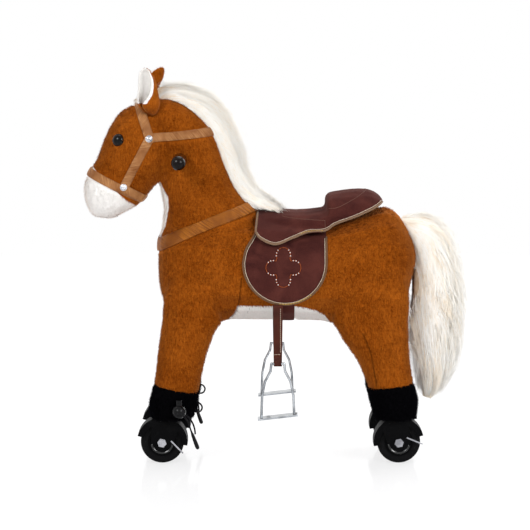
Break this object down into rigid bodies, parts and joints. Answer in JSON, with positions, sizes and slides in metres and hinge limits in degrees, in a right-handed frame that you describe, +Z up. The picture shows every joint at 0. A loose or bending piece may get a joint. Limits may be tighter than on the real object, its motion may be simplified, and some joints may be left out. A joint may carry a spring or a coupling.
{
  "type": "ride-on horse on wheels",
  "caption": "Plush ride-on horse on fixed wheels, with a padded saddle, swinging stirrups, bridle, fur mane and tail, and a handle bar through the neck.",
  "frame": {"origin": "on the floor, under the middle of the toy's bounding box", "axes": "-X is the way the horse faces, +Y its right side, +Z up"},
  "size_m": [0.6709, 0.286, 0.6825],
  "materials": {
    "frame_steel": "satin",
    "bright_steel": "polished",
    "grip_plastic": "gloss",
    "tyre_rubber": "matte",
    "black_plastic": "gloss",
    "brown_plush": "short pile",
    "white_plush": "short pile",
    "black_plush": "short pile",
    "cream_fur": "long fur",
    "tan_leatherette": "satin",
    "maroon_suede": "suede",
    "brown_leatherette": "satin",
    "black_cord": "braided"
  },
  "bodies": {
    "horse": {"front_leg_frame": "frame_steel", "rear_leg_frame": "frame_steel", "spine_tube": "frame_steel", "neck_post": "frame_steel", "handle_bar": "bright_steel", "frame_bolts": "bright_steel", "axle_bolts": "bright_steel", "axle_nuts": "bright_steel", "wheel_stop_springs": "bright_steel", "bridle_rivets": "bright_steel", "handle_grip_left": "grip_plastic", "handle_grip_right": "grip_plastic", "fork_front_left": "black_plastic", "fork_front_right": "black_plastic", "fork_rear_left": "black_plastic", "fork_rear_right": "black_plastic", "cord_locks": "black_plastic", "eyes": "black_plastic", "torso": "brown_plush", "neck": "brown_plush", "head": "brown_plush", "ear_left": "brown_plush", "ear_right": "brown_plush", "leg_front_left": "brown_plush", "leg_front_right": "brown_plush", "leg_rear_left": "brown_plush", "leg_rear_right": "brown_plush", "muzzle": "white_plush", "cuff_front_left": "black_plush", "cuff_front_right": "black_plush", "cuff_rear_left": "black_plush", "cuff_rear_right": "black_plush", "mane": "cream_fur", "noseband": "tan_leatherette", "cheek_straps": "tan_leatherette", "browband": "tan_leatherette", "crown_strap": "tan_leatherette", "breast_strap": "tan_leatherette", "saddle_seat": "maroon_suede", "saddle_flap_left": "maroon_suede", "saddle_flap_right": "maroon_suede", "girth": "maroon_suede", "cord_loops": "black_cord", "cord_tails_long": "black_cord", "cord_tails_short": "black_cord"},
    "wheel_front_left": {"tyre_front_left": "tyre_rubber", "rim_front_left": "black_plastic"},
    "wheel_front_right": {"tyre_front_right": "tyre_rubber", "rim_front_right": "black_plastic"},
    "wheel_rear_left": {"tyre_rear_left": "tyre_rubber", "rim_rear_left": "black_plastic"},
    "wheel_rear_right": {"tyre_rear_right": "tyre_rubber", "rim_rear_right": "black_plastic"},
    "leather_left": {"stirrup_leather_left": "brown_leatherette"},
    "leather_right": {"stirrup_leather_right": "brown_leatherette"},
    "stirrup_left": {"stirrup_left": "bright_steel"},
    "stirrup_right": {"stirrup_right": "bright_steel"},
    "lock_button_left": {"lock_button_left": "black_plastic"},
    "lock_button_right": {"lock_button_right": "black_plastic"},
    "tail": {"tail": "cream_fur"}
  },
  "joints": [
    {"name": "wheel_front_left_spin", "type": "hinge", "parent": "horse", "child": "wheel_front_left", "pos_m": [-0.196, -0.08, 0.0375], "axis": [0, 1, 0], "continuous": true},
    {"name": "wheel_front_right_spin", "type": "hinge", "parent": "horse", "child": "wheel_front_right", "pos_m": [-0.196, 0.08, 0.0375], "axis": [0, 1, 0], "continuous": true},
    {"name": "wheel_rear_left_spin", "type": "hinge", "parent": "horse", "child": "wheel_rear_left", "pos_m": [0.215, -0.08, 0.0375], "axis": [0, 1, 0], "continuous": true},
    {"name": "wheel_rear_right_spin", "type": "hinge", "parent": "horse", "child": "wheel_rear_right", "pos_m": [0.215, 0.08, 0.0375], "axis": [0, 1, 0], "continuous": true},
    {"name": "leather_left_swing", "type": "hinge", "parent": "horse", "child": "leather_left", "pos_m": [0.0045, -0.11985, 0.27815], "axis": [-1, 0, 0], "range_deg": [-12, 60]},
    {"name": "stirrup_left_swing", "type": "hinge", "parent": "leather_left", "child": "stirrup_left", "pos_m": [0.0045, -0.11985, 0.17915], "axis": [-1, 0, 0], "range_deg": [-35, 70]},
    {"name": "lock_button_left_press", "type": "slide", "parent": "horse", "child": "lock_button_left", "axis": [0, 0, -1], "range_m": [0, 0.004], "stiffness_N_per_m": 400, "springref_m": -0.004},
    {"name": "leather_right_swing", "type": "hinge", "parent": "horse", "child": "leather_right", "pos_m": [0.0045, 0.11985, 0.27815], "axis": [1, 0, 0], "range_deg": [-12, 60]},
    {"name": "stirrup_right_swing", "type": "hinge", "parent": "leather_right", "child": "stirrup_right", "pos_m": [0.0045, 0.11985, 0.17915], "axis": [1, 0, 0], "range_deg": [-35, 70]},
    {"name": "lock_button_right_press", "type": "slide", "parent": "horse", "child": "lock_button_right", "axis": [0, 0, -1], "range_m": [0, 0.004], "stiffness_N_per_m": 400, "springref_m": -0.004},
    {"name": "tail_swing", "type": "hinge", "parent": "horse", "child": "tail", "pos_m": [0.235, 0, 0.4105], "axis": [1, 0, 0], "range_deg": [-20, 20]}
  ]
}
